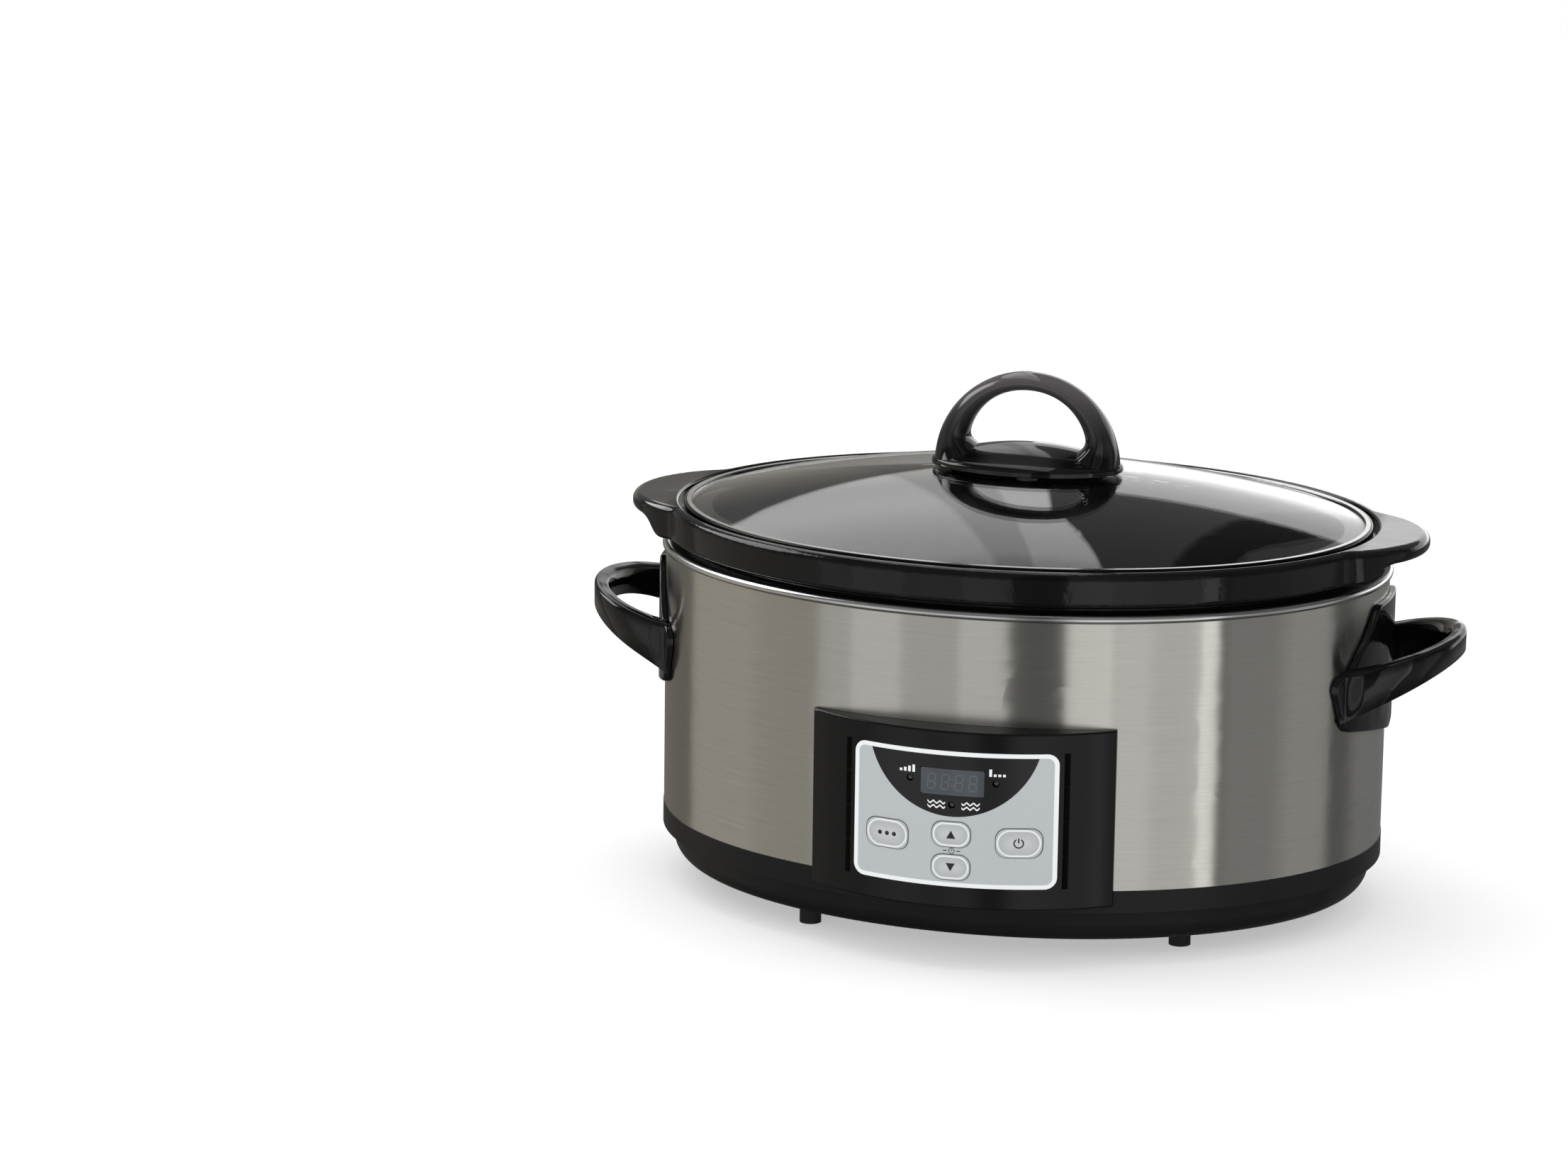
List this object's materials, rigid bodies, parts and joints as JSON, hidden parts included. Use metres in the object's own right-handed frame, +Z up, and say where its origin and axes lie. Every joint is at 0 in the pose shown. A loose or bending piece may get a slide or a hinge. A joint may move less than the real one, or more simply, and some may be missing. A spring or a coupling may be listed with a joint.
{
  "type": "slow cooker",
  "caption": "Oval countertop slow cooker with brushed steel wrap, removable glazed crock, domed glass lid with arch knob, loop handles and a bowed digital control panel.",
  "frame": {"origin": "on the table under the middle of the oval body", "axes": "+X to the right along the length, +Z up, the control panel faces -Y"},
  "size_m": [0.434, 0.3072, 0.2575],
  "materials": {
    "base_plastic": "semi-matte moulded black",
    "foot_rubber": "matt black",
    "gland_plastic": "matt black",
    "wrap_steel": "fine horizontal brushing",
    "well_steel": "drawn, with a polished bead",
    "band_metal": "mill finish",
    "fastener_steel": "zinc plated",
    "fuse_metal": "plain",
    "board_laminate": "solder-mask green",
    "component_plastic": "moulded dark",
    "housing_plastic": "gloss black",
    "overlay_print": "printed silver grey with a white border",
    "window_plastic": "smoked clear",
    "lamp_lens": "clear lens",
    "key_plastic": "silver with a white outline",
    "handle_plastic": "gloss black",
    "crock_glaze": "gloss black glaze",
    "rim_steel": "polished",
    "lid_glass": "clear tempered",
    "seal_rubber": "soft grey"
  },
  "bodies": {
    "housing": {"base_pan": "base_plastic", "feet": "foot_rubber", "cord_gland": "gland_plastic", "steel_wrap": "wrap_steel", "heating_well": "well_steel", "heater_band": "band_metal", "clamp_bolt": "fastener_steel", "thermal_fuse": "fuse_metal", "well_stud": "fastener_steel", "heat_shield": "band_metal", "stud_sleeve": "fastener_steel", "stud_washer": "fastener_steel", "stud_nut": "fastener_steel", "power_board": "board_laminate", "power_relay": "component_plastic", "supply_transformer": "component_plastic", "filter_capacitor": "component_plastic", "power_screws": "fastener_steel", "control_housing": "housing_plastic", "control_overlay": "overlay_print", "display_window": "window_plastic", "display_module": "component_plastic", "indicator_lamps": "lamp_lens", "control_board": "board_laminate", "control_screws": "fastener_steel", "key_switches": "component_plastic", "panel_screws": "fastener_steel", "right_handle": "handle_plastic", "left_handle": "handle_plastic", "handle_screws": "fastener_steel"},
    "crock": {"crock": "crock_glaze"},
    "lid": {"lid_rim": "rim_steel", "lid_glass": "lid_glass", "knob_seal": "seal_rubber", "lid_knob": "handle_plastic", "knob_washer": "fastener_steel", "knob_screw": "fastener_steel"},
    "mode_button": {"mode_button": "key_plastic"},
    "off_button": {"off_button": "key_plastic"},
    "time_up_button": {"time_up_button": "key_plastic"},
    "time_down_button": {"time_down_button": "key_plastic"}
  },
  "joints": [
    {"name": "crock_lift", "type": "slide", "parent": "housing", "child": "crock", "axis": [0, 0, 1], "range_m": [0, 0.2]},
    {"name": "lid_lift", "type": "slide", "parent": "crock", "child": "lid", "axis": [0, 0, 1], "range_m": [0, 0.12]},
    {"name": "mode_press", "type": "slide", "parent": "housing", "child": "mode_button", "axis": [0, 1, 0], "range_m": [0, 0.0006], "stiffness_N_per_m": 1500, "springref_m": -0.0003},
    {"name": "off_press", "type": "slide", "parent": "housing", "child": "off_button", "axis": [0, 1, 0], "range_m": [0, 0.0006], "stiffness_N_per_m": 1500, "springref_m": -0.0003},
    {"name": "time_up_press", "type": "slide", "parent": "housing", "child": "time_up_button", "axis": [0, 1, 0], "range_m": [0, 0.0006], "stiffness_N_per_m": 1500, "springref_m": -0.0003},
    {"name": "time_down_press", "type": "slide", "parent": "housing", "child": "time_down_button", "axis": [0, 1, 0], "range_m": [0, 0.0006], "stiffness_N_per_m": 1500, "springref_m": -0.0003}
  ]
}
